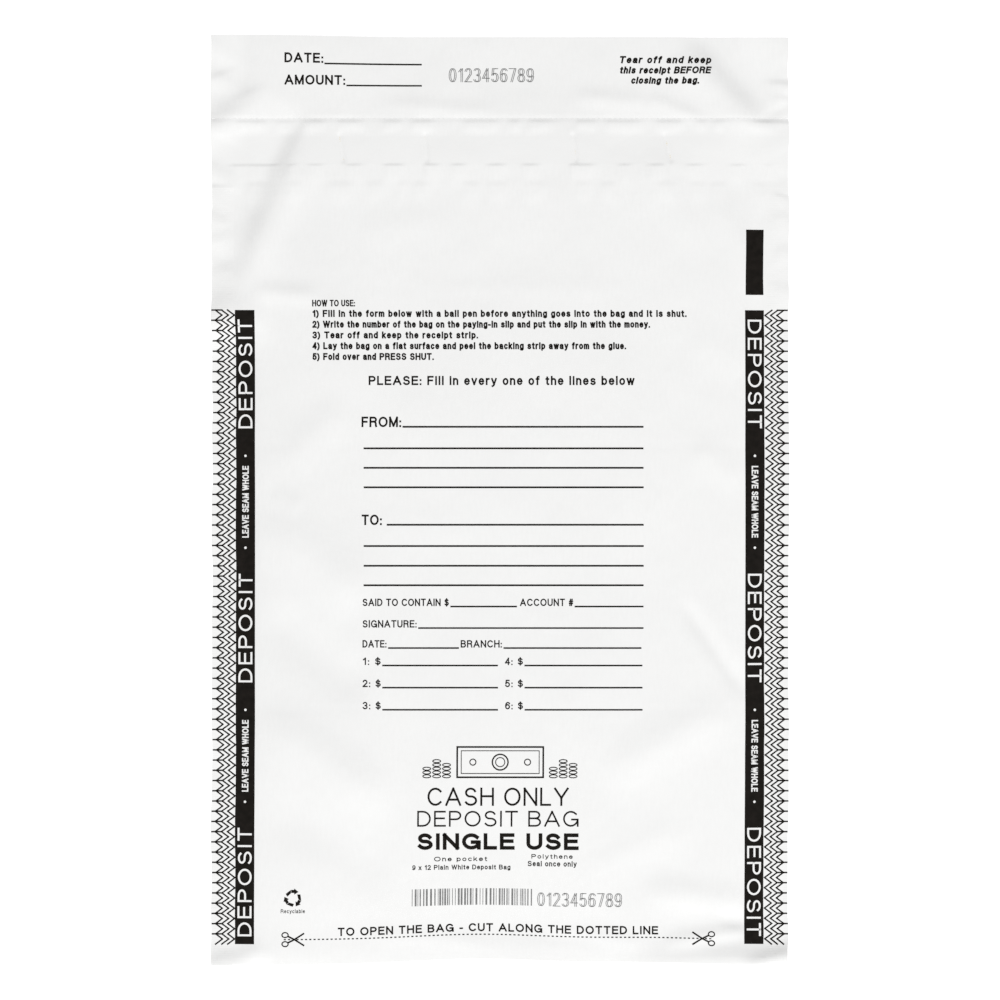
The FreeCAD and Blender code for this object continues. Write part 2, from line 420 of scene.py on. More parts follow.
def film_finish(name, white, glue_shows=False):
    """White polyethylene: a soft gloss, drawn very slightly along the web, with clouding and fine crinkle."""
    finish = Finish(name, white, 0.34, ior=1.51, specular=0.42)
    cloud = finish.remap(finish.noise(38, 4))
    paler = tuple(min(1.0, c * 1.025) for c in white)
    color = finish.blend(cloud, white, paler)
    grain = finish.noise(1.1, 2, stretch=(1, 0.25, 1))
    color = finish.blend(finish.remap(grain, 0.0, 0.5, 0.35, 0.75), color, tuple(c * 0.975 for c in white))
    if glue_shows:
        # the glue behind the lip shows through as a slightly deeper band
        y = finish.node("SeparateXYZ", Vector=finish.place).outputs["Y"]
        above = finish.remap(y, 0.0, 1.0, glue_low[1] - 0.3, glue_low[1] + 0.3)
        below = finish.remap(y, 1.0, 0.0, glue_high[1] - 0.3, glue_high[1] + 0.3)
        color = finish.blend(finish.math("MULTIPLY", above, below), color, tuple(c * 0.993 for c in white))
    finish.set("Base Color", color)
    finish.set("Roughness", finish.remap(finish.noise(6, 5), 0.28, 0.46))
    crinkle = finish.math("ADD", finish.noise(5.5, 5), finish.math("MULTIPLY", finish.noise(0.9, 2), 0.12))
    finish.bump(crinkle, 0.09)
    return finish.material


def weld_finish():
    """Two films melted together: a little glassier than the film, with the sealing bar's fine ribs."""
    finish = Finish("weld", (0.705, 0.705, 0.70), 0.32, ior=1.51, specular=0.42)
    cloud = finish.remap(finish.noise(38, 4))
    finish.set("Base Color", finish.blend(cloud, (0.70, 0.70, 0.695), (0.718, 0.718, 0.712)))
    finish.set("Roughness", finish.remap(finish.noise(4, 4), 0.24, 0.42))
    y = finish.node("SeparateXYZ", Vector=finish.place).outputs["Y"]
    ribs = finish.math("SINE", finish.math("MULTIPLY", y, 2 * math.pi / 0.9), 0.0)
    height = finish.math("ADD", finish.math("MULTIPLY", ribs, 0.05), finish.noise(3.5, 5))
    finish.bump(height, 0.12)
    return finish.material


def ink_finish(name, color, thin):
    """Printing ink on film: nearly flat, with an uneven lay where the plate pressed less."""
    finish = Finish(name, color, 0.5, specular=0.06)
    lay = finish.remap(finish.noise(2.6, 5), 0.0, 1.0, 0.32, 0.72)
    finish.set("Base Color", finish.blend(lay, color, thin))
    finish.set("Roughness", finish.remap(finish.noise(4, 4), 0.30, 0.52))
    finish.bump(finish.noise(5.5, 5), 0.12)
    return finish.material


def glue_finish():
    """Hot-melt glue: pale amber and shiny, with drag lines along the strip."""
    finish = Finish("glue", (0.72, 0.66, 0.50), 0.2, ior=1.48)
    drag = finish.noise(1.2, 4, stretch=(0.08, 1, 1))
    depth = finish.remap(drag)
    finish.set("Base Color", finish.blend(depth, (0.74, 0.68, 0.53), (0.60, 0.53, 0.38)))
    finish.set("Roughness", finish.remap(drag, 0.12, 0.34))
    finish.bump(drag, 0.05)
    return finish.material


def liner_finish():
    """Silicone-coated backing: smooth, a little blue beside the film, with fine lengthwise lines."""
    finish = Finish("liner", (0.66, 0.69, 0.72), 0.22, ior=1.45)
    lines = finish.noise(0.7, 3, stretch=(0.05, 1, 1))
    cloud = finish.remap(finish.noise(14, 4))
    finish.set("Base Color", finish.blend(cloud, (0.64, 0.67, 0.71), (0.71, 0.735, 0.755)))
    finish.set("Roughness", finish.remap(lines, 0.16, 0.32))
    finish.bump(finish.math("ADD", lines, finish.noise(7, 4)), 0.05)
    return finish.material


def floor_finish():
    """A plain white table that can be seen through from underneath."""
    material = bpy.data.materials.new("floor")
    material.use_nodes = True
    tree = material.node_tree
    shader = tree.nodes["Principled BSDF"]
    shader.inputs["Base Color"].default_value = (0.96, 0.96, 0.96, 1)
    shader.inputs["Roughness"].default_value = 0.9
    shader.inputs["Specular IOR Level"].default_value = 0.0
    shader.inputs["Emission Color"].default_value = (1, 1, 1, 1)
    shader.inputs["Emission Strength"].default_value = 0.35
    side = tree.nodes.new("ShaderNodeNewGeometry")
    clear = tree.nodes.new("ShaderNodeBsdfTransparent")
    mix = tree.nodes.new("ShaderNodeMixShader")
    tree.links.new(side.outputs["Backfacing"], mix.inputs[0])
    tree.links.new(shader.outputs[0], mix.inputs[1])
    tree.links.new(clear.outputs[0], mix.inputs[2])
    tree.links.new(mix.outputs[0], tree.nodes["Material Output"].inputs["Surface"])
    return material


WHITE = (0.70, 0.70, 0.695)
FINISHES = {
    "film": film_finish("film_front", WHITE, glue_shows=True),
    "film_back": film_finish("film_back", tuple(c * 0.99 for c in WHITE)),
    "weld": weld_finish(),
    "adhesive": glue_finish(),
    "liner": liner_finish(),
    "print_black": ink_finish("ink_black", (0.0055, 0.0045, 0.0035), (0.0105, 0.0085, 0.007)),
    "print_grey": ink_finish("ink_grey", (0.13, 0.13, 0.13), (0.22, 0.22, 0.22)),
}
FINISHES["print_white"] = FINISHES["film_back"]  # bare film that shows through the ink


# ---- meshes ---------------------------------------------------------------------------------


def make_piece(name, points, flat, faces, finish):
    """A mesh from points in millimetres, which remembers where each lay on the flat film."""
    mesh = bpy.data.meshes.new(name)
    mesh.from_pydata((np.asarray(points) * MM).tolist(), [], faces)
    places = mesh.attributes.new("flat_mm", "FLOAT_VECTOR", "POINT")
    places.data.foreach_set("vector", np.ravel(flat).astype(np.float32))
    mesh.polygons.foreach_set("use_smooth", [True] * len(mesh.polygons))
    mesh.materials.append(FINISHES[finish])
    mesh.validate()
    mesh.set_sharp_from_angle(angle=math.radians(40))
    piece = bpy.data.objects.new(name, mesh)
    bpy.context.scene.collection.objects.link(piece)
    return piece


def shell(name, xs, ys, upper, lower, finish, keep=None):
    """A closed sheet over a grid, between two height functions. keep says which cells are there."""
    x, y = np.meshgrid(xs, ys)
    wide, tall = len(xs), len(ys)
    sx, sy = sway(x, y)
    top = np.stack([sx, sy, upper(x, y)], -1).reshape(-1, 3)
    under = np.stack([sx, sy, lower(x, y)], -1).reshape(-1, 3)
    flat = np.stack([x, y, 0 * x], -1).reshape(-1, 3)
    count = wide * tall
    there = np.ones((tall - 1, wide - 1), bool)
    if keep is not None:
        there = keep((x[1:, 1:] + x[:-1, :-1]) / 2, (y[1:, 1:] + y[:-1, :-1]) / 2)
    faces = []
    for j, i in zip(*np.nonzero(there)):
        a = j * wide + i
        quad = (int(a), int(a + 1), int(a + wide + 1), int(a + wide))
        faces.append(quad)
        faces.append(tuple(k + count for k in reversed(quad)))
        for dj, di, p, q in ((-1, 0, 0, 1), (0, 1, 1, 2), (1, 0, 2, 3), (0, -1, 3, 0)):
            m, n = j + dj, i + di
            if not (0 <= m < tall - 1 and 0 <= n < wide - 1 and there[m, n]):
                faces.append((quad[q], quad[p], quad[p] + count, quad[q] + count))
    used = sorted({k for face in faces for k in face})
    renumber = {k: n for n, k in enumerate(used)}
    faces = [tuple(renumber[k] for k in face) for face in faces]
    points = np.concatenate([top, under])[used]
    places = np.concatenate([flat, flat])[used]
    return make_piece(name, points, places, faces, finish)


# ---- the film pieces ------------------------------------------------------------------------


def front_under(x, y):
    return front_top(x, y) - FILM


def back_top(x, y):
    return back_under(x, y) + FILM


def front_film():
    """The front of the pocket and the lip, one web that runs on over the mouth, where the lip folds over."""
    ys = grid_y[(grid_y >= POCKET_FOOT - 1e-6) & (grid_y <= PERFORATION + 1e-6)]

    def there(x, y):
        return (np.abs(x) < SEAL) | (y > MOUTH)

    piece = shell("front_film", grid_x, ys, front_top, front_under, "film", there)
    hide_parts("front_panel", "closure_lip")
    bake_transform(piece)


def back_film():
    """The back of the pocket, which stops at the mouth."""
    xs = ticks(-SEAL, SEAL, 2.0)
    ys = ticks(POCKET_FOOT, MOUTH, 2.0)
    piece = shell("back_film", xs, ys, back_top, back_under, "film_back")
    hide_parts("back_panel")
    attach(piece, "pocket")


def side_weld(side, node, name):
    """The band down one edge where the two films are one, with the melted bead of its cut edge."""
    xs = side * joined(ticks(SEAL, HALF), [HALF - 0.35, HALF - 0.15])
    xs.sort()
    ys = grid_y[grid_y <= MOUTH + 1e-6]

    def bead(x):
        return 0.05 * np.exp(-(((np.abs(x) - HALF + 0.15) / 0.22) ** 2))

    def upper(x, y):
        return front_top(x, y) + bead(x)

    piece = shell(name, xs, ys, upper, back_under, "weld")
    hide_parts(node)
    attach(piece, "pocket")


def folded_foot():
    """The foot of the bag, where the web turns round from the front to the back."""
    xs = ticks(-SEAL, SEAL)
    nose = 0.45
    rows = (POCKET_FOOT, POCKET_FOOT - 1.0, POCKET_FOOT - 1.9, FOOT + nose)
    ring = [(y, 1.0) for y in rows]  # places round the fold, and how far up its thickness each is
    for turn in np.linspace(0.15, 0.85, 6) * math.pi:
        ring.append((FOOT + nose - nose * math.sin(turn), 0.5 + 0.5 * math.cos(turn)))
    ring += [(y, 0.0) for y in reversed(rows)]
    points, flat = [], []
    for x in xs:
        for y, share in ring:
            low, high = back_under(x, y), front_top(x, y)
            sx, sy = sway(x, np.float64(y))
            points.append((float(sx), float(sy), float(low + share * (high - low))))
            flat.append((x, y, 0))
    tall = len(ring)
    faces = []
    for i in range(len(xs) - 1):
        for j in range(tall):
            a, b = i * tall + j, i * tall + (j + 1) % tall
            faces.append((a, b, b + tall, a + tall))
    faces.append(tuple(reversed(range(tall))))
    last = (len(xs) - 1) * tall
    faces.append(tuple(range(last, last + tall)))
    piece = make_piece("foot_fold_film", points, flat, faces, "film")
    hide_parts("foot_fold")
    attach(piece, "pocket")


def receipt_film():
    """The tear-off receipt, with the perforation's ties along its lower edge."""
    gap = 0.13  # how wide the perforation's cuts are
    pitch = 25.4 / 12
    ties = np.arange(-HALF + pitch, HALF - 0.2 * pitch, pitch)
    edges = np.concatenate([[-HALF, HALF, -HALF + 0.4, HALF - 0.4], ties - 0.55, ties + 0.55])
    xs = joined(edges, (ties[1:] + ties[:-1]) / 2)
    ys = joined([PERFORATION, PERFORATION + gap], grid_y[grid_y > PERFORATION + 2 * gap])

    def there(x, y):
        near_tie = np.min(np.abs(x[..., None] - ties), -1) < 0.56
        return (y > PERFORATION + gap) | near_tie | (np.abs(x) > HALF - 0.4)

    piece = shell("receipt_film", xs, ys, front_top, front_under, "film", there)
    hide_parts("receipt_stub")
    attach(piece, "receipt")


def glue_strip():
    """The glue on the rear of the lip, a hot-melt layer that follows the film's underside."""
    xs = ticks(glue_low[0], glue_high[0])
    ys = ticks(glue_low[1], glue_high[1], 0.8)

    def lower(x, y):
        return front_under(x, y) - GLUE

    piece = shell("glue_strip", xs, ys, front_under, lower, "adhesive")
    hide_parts("adhesive_strip")
    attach(piece, "lip")


def liner_strip():
    """The backing strip over the glue, with a rounded lifting end past the glue on the left."""
    xs = joined(ticks(liner_low[0], liner_low[0] + 6, 0.5), ticks(liner_low[0] + 6, liner_high[0]))
    ys = ticks(liner_low[1], liner_high[1], 0.7)
    corner = 3.0
    middle = (liner_low[1] + liner_high[1]) / 2
    reach = (liner_high[1] - liner_low[1]) / 2

    def there(x, y):
        back = np.clip(liner_low[0] + corner - x, 0, None)
        out = np.clip(np.abs(y - middle) - reach + corner, 0, None)
        return np.hypot(back, out) < corner

    def upper(x, y):
        return front_under(x, y) - GLUE

    def lower(x, y):
        return upper(x, y) - LINER

    piece = shell("release_liner_strip", xs, ys, upper, lower, "liner", there)
    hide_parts("release_liner")
    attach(piece, "liner")


# ---- the print ------------------------------------------------------------------------------


def bow(x, y, wide, tall, start=0, stop=360):
    """Points round an ellipse from one angle to another, in degrees."""
    turns = np.radians(np.linspace(start, stop, max(2, int(abs(stop - start) / 20)) + 1))
    return [(x + wide * math.cos(t), y + tall * math.sin(t)) for t in turns]


# Lines that several letters share.
STEM, STEM_DOWN = [(0, 0), (0, 1)], [(0, 1), (0, 0)]
LOOP = bow(0.25, 0.36, 0.25, 0.36)
ARCH = bow(0.23, 0.46, 0.23, 0.26, 180, 0) + [(0.46, 0)]
ESS = bow(0.34, 0.75, 0.29, 0.25, 22, 245) + bow(0.35, 0.26, 0.33, 0.26, 75, -155)
DOT = [(0, 0), (0, 0.01)]
SMALL_ESS = [(x * 0.72, y * 0.72) for x, y in ESS]

# A plain alphabet drawn in single lines, capitals 1 high: the width of each letter and its lines.
LETTERS = {
    "A": (0.86, [[(0, 0), (0.43, 1), (0.86, 0)], [(0.15, 0.32), (0.71, 0.32)]]),
    "B": (0.69, [STEM + bow(0.38, 0.765, 0.26, 0.235, 90, -90) + [(0, 0.53)],
                 bow(0.40, 0.265, 0.29, 0.265, 90, -90) + [(0, 0)]]),
    "C": (0.80, [bow(0.43, 0.5, 0.43, 0.5, 42, 318)]),
    "D": (0.74, [STEM + bow(0.30, 0.5, 0.44, 0.5, 90, -90) + [(0, 0)]]),
    "E": (0.62, [[(0.62, 1), (0, 1), (0, 0), (0.63, 0)], [(0, 0.53), (0.57, 0.53)]]),
    "F": (0.58, [[(0.58, 1), (0, 1), (0, 0)], [(0, 0.51), (0.50, 0.51)]]),
    "G": (0.86, [bow(0.43, 0.5, 0.43, 0.5, 42, 345), [(0.50, 0.45), (0.86, 0.45), (0.86, 0.0)]]),
    "H": (0.72, [STEM, [(0.72, 0), (0.72, 1)], [(0, 0.53), (0.72, 0.53)]]),
    "I": (0.02, [[(0.01, 0), (0.01, 1)]]),
    "L": (0.55, [[(0, 1), (0, 0), (0.55, 0)]]),
    "M": (0.86, [STEM, [(0, 1), (0.43, 0.04), (0.86, 1)], [(0.86, 1), (0.86, 0)]]),
    "N": (0.72, [STEM, [(0, 1), (0.72, 0)], [(0.72, 0), (0.72, 1)]]),
    "O": (0.90, [bow(0.45, 0.5, 0.45, 0.5)]),
    "P": (0.66, [STEM + bow(0.37, 0.73, 0.29, 0.27, 90, -90) + [(0, 0.46)]]),
    "R": (0.71, [STEM + bow(0.40, 0.76, 0.28, 0.24, 90, -90) + [(0, 0.52)],
                 [(0.40, 0.52)] + bow(0.45, 0.32, 0.20, 0.18, 80, 0) + [(0.66, 0.12), (0.70, 0)]]),
    "S": (0.69, [ESS]),
    "T": (0.68, [[(0, 1), (0.68, 1)], [(0.34, 1), (0.34, 0)]]),
    "U": (0.70, [[(0, 1)] + bow(0.35, 0.34, 0.35, 0.34, 180, 360) + [(0.70, 1)]]),
    "V": (0.80, [[(0, 1), (0.40, 0), (0.80, 1)]]),
    "W": (1.14, [[(0, 1), (0.29, 0), (0.57, 1), (0.85, 0), (1.14, 1)]]),
    "Y": (0.78, [[(0, 1), (0.39, 0.43), (0.78, 1)], [(0.39, 0.43), (0.39, 0)]]),
    "a": (0.50, [bow(0.24, 0.53, 0.22, 0.19, 165, 0) + [(0.46, 0.10), (0.50, 0)],
                 [(0.46, 0.44), (0.20, 0.38)] + bow(0.19, 0.19, 0.19, 0.19, 90, 280) + [(0.46, 0.16)]]),
    "b": (0.50, [STEM_DOWN, LOOP]),
    "c": (0.47, [bow(0.25, 0.36, 0.25, 0.36, 42, 318)]),
    "d": (0.50, [[(0.50, 1), (0.50, 0)], LOOP]),
    "e": (0.51, [[(0.01, 0.38)] + bow(0.26, 0.36, 0.25, 0.36, 4, 318)]),
    "f": (0.28, [[(0.28, 1)] + bow(0.23, 0.86, 0.12, 0.14, 90, 180) + [(0.11, 0)], [(0, 0.7), (0.26, 0.7)]]),
    "g": (0.50, [[(0.50, 0.72)] + bow(0.26, -0.06, 0.24, 0.20, 0, -155), LOOP]),
    "h": (0.46, [STEM_DOWN, ARCH]),
    "i": (0.02, [[(0.01, 0.72), (0.01, 0)], [(0.01, 0.97), (0.01, 0.98)]]),
    "k": (0.46, [STEM_DOWN, [(0.42, 0.72), (0, 0.26)], [(0.16, 0.43), (0.46, 0)]]),
    "l": (0.02, [[(0.01, 1), (0.01, 0)]]),
    "m": (0.78, [[(0, 0.72), (0, 0)], bow(0.19, 0.5, 0.2, 0.22, 180, 0) + [(0.39, 0)],
                 bow(0.58, 0.5, 0.2, 0.22, 180, 0) + [(0.78, 0)]]),
    "n": (0.46, [[(0, 0.72), (0, 0)], ARCH]),
    "o": (0.52, [bow(0.26, 0.36, 0.26, 0.36)]),
    "p": (0.50, [[(0, 0.72), (0, -0.26)], LOOP]),
    "r": (0.27, [[(0, 0.72), (0, 0)], bow(0.25, 0.45, 0.25, 0.27, 180, 85)]),
    "s": (0.48, [SMALL_ESS]),
    "t": (0.28, [[(0.12, 0.92)] + bow(0.23, 0.12, 0.11, 0.12, 180, 290), [(0, 0.7), (0.27, 0.7)]]),
    "u": (0.46, [[(0, 0.72)] + bow(0.23, 0.26, 0.23, 0.26, 180, 360), [(0.46, 0.72), (0.46, 0)]]),
    "v": (0.50, [[(0, 0.72), (0.25, 0), (0.50, 0.72)]]),
    "w": (0.78, [[(0, 0.72), (0.2, 0), (0.39, 0.72), (0.58, 0), (0.78, 0.72)]]),
    "x": (0.48, [[(0, 0), (0.47, 0.72)], [(0.01, 0.72), (0.48, 0)]]),
    "y": (0.50, [[(0, 0.72), (0.26, 0)], [(0.50, 0.72), (0.20, -0.18), (0.06, -0.26)]]),
    "0": (0.56, [bow(0.28, 0.5, 0.28, 0.5)]),
    "1": (0.34, [[(0.06, 0.76), (0.30, 0.98)], [(0.30, 1), (0.30, 0)]]),
    "2": (0.56, [bow(0.28, 0.71, 0.26, 0.29, 165, -35) + [(0, 0), (0.56, 0)]]),
    "3": (0.56, [bow(0.27, 0.75, 0.25, 0.25, 155, -85), bow(0.27, 0.26, 0.28, 0.26, 85, -160)]),
    "4": (0.56, [[(0.42, 0), (0.42, 1)], [(0.42, 1), (0, 0.27), (0.56, 0.27)]]),
    "5": (0.56, [[(0.50, 1), (0.11, 1), (0.05, 0.5)] + bow(0.27, 0.33, 0.28, 0.32, 130, -155)]),
    "6": (0.56, [bow(0.32, 0.56, 0.31, 0.44, 40, 180), bow(0.28, 0.32, 0.27, 0.32)]),
    "7": (0.54, [[(0, 1), (0.54, 1)], [(0.54, 0.98), (0.18, 0)]]),
    "8": (0.56, [bow(0.28, 0.765, 0.23, 0.235), bow(0.28, 0.265, 0.28, 0.265)]),
    "9": (0.56, [bow(0.24, 0.44, 0.31, 0.44, -140, 0), bow(0.28, 0.68, 0.27, 0.32)]),
    ".": (0.02, [DOT]), "-": (0.26, [[(0, 0.37), (0.26, 0.37)]]),
    ":": (0.02, [DOT, [(0, 0.55), (0, 0.56)]]), " ": (0.14, []),
    ")": (0.16, [bow(-0.35, 0.38, 0.5, 0.72, 55, -55)]),
    "#": (0.56, [[(0.08, 0), (0.20, 1)], [(0.36, 0), (0.48, 1)], [(0, 0.34), (0.54, 0.34)],
                 [(0.02, 0.66), (0.56, 0.66)]]),
    "$": (0.62, [[(x * 0.9, 0.06 + y * 0.88) for x, y in ESS], [(0.31, -0.08), (0.31, 1.08)]]),
}


class Artwork:
    """Flat shapes in millimetres on the unfolded bag, which are later laid on the film as ink."""

    def __init__(self):
        self.shapes = []

    def polygon(self, *points):
        self.shapes.append(list(points))

    def bar(self, left, low, right, high):
        self.polygon((left, low), (right, low), (right, high), (left, high))

    def rule(self, left, right, y, thick=0.62):
        """A line to write on."""
        self.bar(left, y - thick / 2, right, y + thick / 2)

    def stroke(self, width, points):
        """A line of even width through points: mitred at a gentle turn, squared off at a sharp one."""
        points = [np.array(p, float) for p in points]
        closed = len(points) > 3 and np.hypot(*(points[0] - points[-1])) < 1e-6
        ways = [(b - a) / np.hypot(*(b - a)) for a, b in zip(points, points[1:])]
        sides = [np.array((-way[1], way[0])) * width / 2 for way in ways]

        def corner(k, leaving):
            """Half the width at point k, and how far past it the line runs, on one of its two segments."""
            before, after = k - 1, k % len(ways)
            if (0 < k < len(points) - 1 or closed) and ways[before] @ ways[after] > -0.2:
                middle = sides[before] + sides[after]
                return middle * (width * width / 2) / (middle @ middle), 0
            segment = after if leaving else before
            return sides[segment], width / 2 * (-1 if leaving else 1)

        for k, way in enumerate(ways):
            (near, back), (far, on) = corner(k, True), corner(k + 1, False)
            a, b = points[k] + way * back, points[k + 1] + way * on
            self.polygon(*[tuple(map(float, p)) for p in (a - near, b - far, b + far, a + near)])

    def ring(self, x, y, radius, width, squash=1.0):
        self.stroke(width, bow(x, y, radius - width / 2, squash * (radius - width / 2)))

    def disc(self, x, y, radius):
        self.polygon(*bow(x, y, radius, radius, 0, 340))

    def words(self, text, start, length, capital, weight=0.13, lean=0.0, turn=0.0, gap=0.22):
        """Words whose base line begins at start, as long as length, with capitals that high.

        weight is the width of a line as a share of the capitals' height.
        """
        line = weight * capital
        natural = sum(LETTERS[c][0] + gap + weight for c in text) - gap - weight
        across = (length - line) / natural
        upward = capital - line
        c, s = math.cos(math.radians(turn)), math.sin(math.radians(turn))
        reach = 0.0
        for letter in text:
            wide, lines = LETTERS[letter]
            for points in lines:
                placed = []
                for px, py in points:
                    v = line / 2 + py * upward
                    u = line / 2 + (reach + px) * across + lean * v
                    placed.append((start[0] + u * c - v * s, start[1] + u * s + v * c))
                self.stroke(line, placed)
            reach += wide + gap + weight


def split(shape, places, axis):
    """Cuts a convex shape at every place along an axis that it crosses."""
    low, high = min(p[axis] for p in shape), max(p[axis] for p in shape)
    parts = []
    for place in places[np.searchsorted(places, low, "right"):np.searchsorted(places, high)]:
        under, over = [], []
        for a, b in zip(shape, shape[1:] + shape[:1]):
            (under if a[axis] <= place else over).append(a)
            if (a[axis] <= place) != (b[axis] <= place):
                share = (place - a[axis]) / (b[axis] - a[axis])
                cut = (a[0] + share * (b[0] - a[0]), a[1] + share * (b[1] - a[1]))
                under.append(cut)
                over.append(cut)
        parts.append(under)
        shape = over
    return [part for part in parts + [shape] if len(part) > 2]


def lay_on(name, art, body="pocket", ink="print_black", lift=LIFT):
    """Lays artwork on the film as a skin of ink, cut along the film's own facets so that it lies flush."""
    places, faces = {}, []
    for shape in art.shapes:
        for column in split(shape, grid_x, 0):
            for part in split(column, grid_y, 1):
                face = [places.setdefault((round(x, 4), round(y, 4)), len(places)) for x, y in part]
                face = [k for n, k in enumerate(face) if k != face[n - 1]]
                if len(face) > 2:
                    faces.append(face)
    flat = np.array([(x, y, 0) for x, y in places])
    x, y = flat[:, 0], flat[:, 1]
    sx, sy = sway(x, y)
    over = np.stack([sx, sy, on_film(x, y) + lift], -1)
    under = over - (0, 0, lift + 0.3 * FILM)
    count = len(over)
    edges = {}
    for face in faces:
        for a, b in zip(face, face[1:] + face[:1]):
            edges[(a, b)] = edges.get((a, b), 0) + 1
    walls = [(b, a, a + count, b + count) for a, b in edges if (b, a) not in edges]
    floor = [[k + count for k in reversed(face)] for face in faces]
    piece = make_piece(name, np.concatenate([over, under]), np.concatenate([flat, flat]),
                       faces + floor + walls, ink)
    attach(piece, body)


FORM_LEFT, FORM_RIGHT = -54.5, 56.5


def receipt_print():
    """The lines to fill in on the receipt, its number and its note."""
    art = Artwork()
    for label, end, y in (("DATE:", -69.6, 173.3), ("AMOUNT:", -60.9, 164.4)):
        art.words(label, (-85.0, y), end + 85.0, 3.95, weight=0.185)
        art.rule(end + 0.4, -30.7, y - 0.25)
    for text, width, y in (("Tear off and keep", 36.4, 173.6), ("this receipt BEFORE", 36.0, 169.3),
                           ("closing the bag.", 27.0, 165.0)):
        art.words(text, (65.4 - width / 2, y), width, 2.95, weight=0.225, lean=0.2)
    lay_on("receipt_print", art, "receipt")
    lay_on("receipt_number", jet_number(-20.0, 165.7, 33.7, 5.8), "receipt", "print_grey")


def jet_number(x, y, length, capital):
    """A number in the twin thin lines of a jet printer."""
    art = Artwork()
    for shift in (0, 0.62):
        art.words("0123456789", (x + shift, y), length - 0.62, capital, weight=0.045, gap=0.30)
    return art


def instruction_print():
    """Five short steps and a reminder, above the form."""
    art = Artwork()
    art.words("HOW TO USE:", (-74.3, 76.5), 17.0, 2.6, weight=0.18)
    steps = [
        ("Fill in the form below with a ball pen before anything goes into the bag and it is shut.", 148.0),
        ("Write the number of the bag on the paying-in slip and put the slip in with the money.", 133.5),
        ("Tear off and keep the receipt strip.", 65.5),
        ("Lay the bag on a flat surface and peel the backing strip away from the glue.", 124.0),
        ("Fold over and PRESS SHUT.", 48.0),
    ]
    for k, (text, width) in enumerate(steps, start=1):
        art.words(f"{k}) {text}", (-74.3, 76.6 - 4.26 * k), width, 2.75, weight=0.215)
    art.words("PLEASE: Fill in every one of the lines below", (-52.1, 45.4), 105.0, 3.6, weight=0.185)
    lay_on("instruction_print", art)


def form_print():
    """The form: who it is from and to, what is said to be inside, and six amounts."""
    art = Artwork()
    parties = [("FROM:", -39.2, 0.5, 28.9, (20.4, 12.7, 5.0)),
               ("TO:", -46.9, 1.9, -9.8, (-18.2, -26.0, -33.7))]
    for label, end, gap, base, rules in parties:
        art.words(label, (FORM_LEFT - 0.4, base - 0.1), end - FORM_LEFT + 0.4, 4.1, weight=0.175)
        art.rule(end + gap, FORM_RIGHT, base, 0.68)
        for y in rules:
            art.rule(FORM_LEFT + 0.4, FORM_RIGHT, y, 0.68)
    fields = [("SAID TO CONTAIN $", FORM_LEFT, -20.4, 6.5, -41.9),
              ("ACCOUNT #", 7.7, 28.7, FORM_RIGHT, -41.9),
              ("SIGNATURE:", FORM_LEFT, -33.1, FORM_RIGHT, -50.4),
              ("DATE:", FORM_LEFT, -45.0, -16.4, -58.3),
              ("BRANCH:", -15.7, 0.6, FORM_RIGHT - 0.8, -58.3)]
    for row in range(3):
        y = -65.2 - 8.75 * row
        fields.append((f"{row + 1}: $", FORM_LEFT, -47.3, -1.0, y))
        fields.append((f"{row + 4}: $", 1.8, 8.9, FORM_RIGHT - 0.4, y))
    for label, left, end, right, y in fields:
        art.words(label, (left, y), end - left, 2.9, weight=0.165)
        art.rule(end + 0.6, right, y - 0.2, 0.6)
    lay_on("form_print", art)


def emblem_print():
    """A plain banknote and coins in outline, with the kind of bag in plain letters under it."""
    art = Artwork()
    for left, low, right, high, line in ((-17, -109.6, 17, -97.6, 0.65), (-15.4, -108.1, 15.4, -99.1, 0.3)):
        art.stroke(line, [(left, low), (right, low), (right, high), (left, high), (left, low)])
    art.ring(0, -103.6, 3.4, 0.55)
    art.ring(0, -103.6, 2.0, 0.35)
    for x in (-10.8, 10.8):
        art.ring(x, -103.6, 1.4, 0.4)
    for k, height in enumerate((3, 5, 4)):
        for coin in range(height):
            for x in (-29.0 + 3.9 * k, 21.0 + 3.9 * k):
                art.ring(x, -109.2 + 1.5 * coin, 1.75, 0.36, squash=0.38)
    art.words("CASH ONLY", (-28.7, -120.9), 55.8, 7.2, weight=0.11, gap=0.2)
    art.words("DEPOSIT BAG", (-32.7, -129.2), 63.8, 6.3, weight=0.105, gap=0.2)
    art.words("SINGLE USE", (-32.7, -138.6), 63.8, 6.7, weight=0.22, gap=0.16)
    notes = [("One pocket", -26.0, -5.0, -143.4, 1.9),
             ("9 x 12 Plain White Deposit Bag", -34.6, 4.2, -146.9, 2.0),
             ("Polythene", 12.5, 28.8, -142.2, 1.8),
             ("Seal once only", 11.0, 30.4, -145.4, 2.2)]
    for text, left, right, y, high in notes:
        art.words(text, (left, y), right - left, high, weight=0.17)
    lay_on("emblem_print", art)


def number_print():
    """The bag's bar code and number, put on by a jet after the rest and paler."""
    art = jet_number(14.9, -161.9, 33.6, 5.6)
    widths = np.random.default_rng(9).choice([0.3, 0.3, 0.55, 0.85], 87)
    x = -34.7
    for k, width in enumerate(widths * 47.6 / widths.sum()):
        if k % 2 == 0:
            art.bar(x, -161.9, x + 0.85 * width, -154.9)
        x += width
    lay_on("number_print", art, ink="print_grey")


def scissors(art, x, y, way):
    """A pair of open scissors, its blades pointing along way."""
    for side in (-1, 1):
        blade = [(x - way * 1.4, y + side * 1.2), (x + way * 1.0, y), (x + way * 4.6, y - side * 2.3)]
        art.stroke(0.62, blade)
        art.ring(x - way * 2.7, y + side * 1.8, 1.45, 0.45, squash=0.8)


